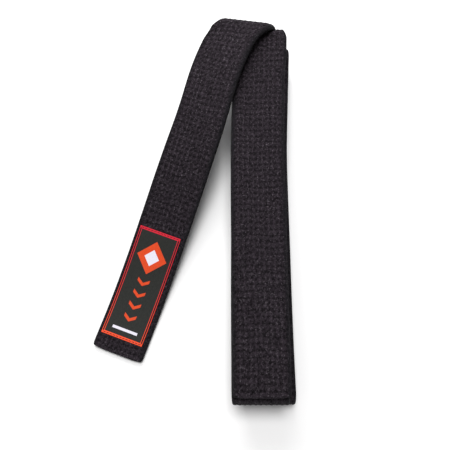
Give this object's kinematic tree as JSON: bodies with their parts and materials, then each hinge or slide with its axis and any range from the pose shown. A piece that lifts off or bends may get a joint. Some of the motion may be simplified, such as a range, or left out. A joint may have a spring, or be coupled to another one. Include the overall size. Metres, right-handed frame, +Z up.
{
  "type": "martial arts belt",
  "caption": "Black quilted cotton martial arts belt folded into a flat stack, its labelled end looped over the fold and laid down beside it.",
  "frame": {"origin": "on the table, under the middle of the whole footprint", "axes": "+Z up, +Y along the stack towards the folds that the label end loops over, +X to the stack's right"},
  "size_m": [0.1494, 0.2954, 0.0558],
  "materials": {
    "belt_cloth": "black cotton weave, matt",
    "core_wadding": "undyed cotton wadding cloth",
    "stitch_thread": "black sewing thread, slight sheen",
    "label_ground_weave": "fine dark satin weave",
    "label_red_weave": "red woven thread",
    "label_orange_weave": "orange-red woven thread",
    "label_white_weave": "white woven thread",
    "label_seam_thread": "black sewing thread"
  },
  "bodies": {
    "stack": {"stack_cover": "belt_cloth", "label_loop_cover": "belt_cloth", "stack_core_ply_1": "core_wadding", "stack_core_ply_2": "core_wadding", "stack_core_ply_3": "core_wadding", "stack_core_ply_4": "core_wadding", "stack_stitch_row_01": "stitch_thread", "stack_stitch_row_02": "stitch_thread", "stack_stitch_row_03": "stitch_thread", "stack_stitch_row_04": "stitch_thread", "stack_stitch_row_05": "stitch_thread", "stack_stitch_row_06": "stitch_thread", "stack_stitch_row_07": "stitch_thread", "stack_stitch_row_08": "stitch_thread", "stack_stitch_row_09": "stitch_thread", "stack_stitch_row_10": "stitch_thread"},
    "plain_tail": {"plain_tail_cover": "belt_cloth", "plain_tail_core_ply_1": "core_wadding", "plain_tail_core_ply_2": "core_wadding", "plain_tail_core_ply_3": "core_wadding", "plain_tail_core_ply_4": "core_wadding", "plain_tail_stitch_row_01": "stitch_thread", "plain_tail_stitch_row_02": "stitch_thread", "plain_tail_stitch_row_03": "stitch_thread", "plain_tail_stitch_row_04": "stitch_thread", "plain_tail_stitch_row_05": "stitch_thread", "plain_tail_stitch_row_06": "stitch_thread", "plain_tail_stitch_row_07": "stitch_thread", "plain_tail_stitch_row_08": "stitch_thread", "plain_tail_stitch_row_09": "stitch_thread", "plain_tail_stitch_row_10": "stitch_thread", "plain_tail_hem_stitches": "stitch_thread"},
    "label_tail": {"label_tail_cover": "belt_cloth", "label_tail_core_ply_1": "core_wadding", "label_tail_core_ply_2": "core_wadding", "label_tail_core_ply_3": "core_wadding", "label_tail_core_ply_4": "core_wadding", "label_tail_stitch_row_01": "stitch_thread", "label_tail_stitch_row_02": "stitch_thread", "label_tail_stitch_row_03": "stitch_thread", "label_tail_stitch_row_04": "stitch_thread", "label_tail_stitch_row_05": "stitch_thread", "label_tail_stitch_row_06": "stitch_thread", "label_tail_stitch_row_07": "stitch_thread", "label_tail_stitch_row_08": "stitch_thread", "label_tail_stitch_row_09": "stitch_thread", "label_tail_stitch_row_10": "stitch_thread", "label_tail_hem_stitches": "stitch_thread", "label_ground": "label_ground_weave", "label_woven_frame": "label_red_weave", "label_seam_thread": "label_seam_thread", "label_lozenge": "label_orange_weave", "label_lozenge_centre": "label_white_weave", "label_chevrons": "label_orange_weave", "label_dash": "label_white_weave"}
  },
  "joints": [
    {"name": "label_tail_bend", "type": "hinge", "parent": "stack", "child": "label_tail", "pos_m": [0.01942, 0.10304, 0.05123], "axis": [-0.9156, 0.3442, -0.2077], "range_deg": [0, 100]},
    {"name": "plain_tail_bend", "type": "hinge", "parent": "stack", "child": "plain_tail", "pos_m": [0.05016, 0.05667, 0.0445], "axis": [-1, 0, 0], "range_deg": [0, 90]}
  ]
}
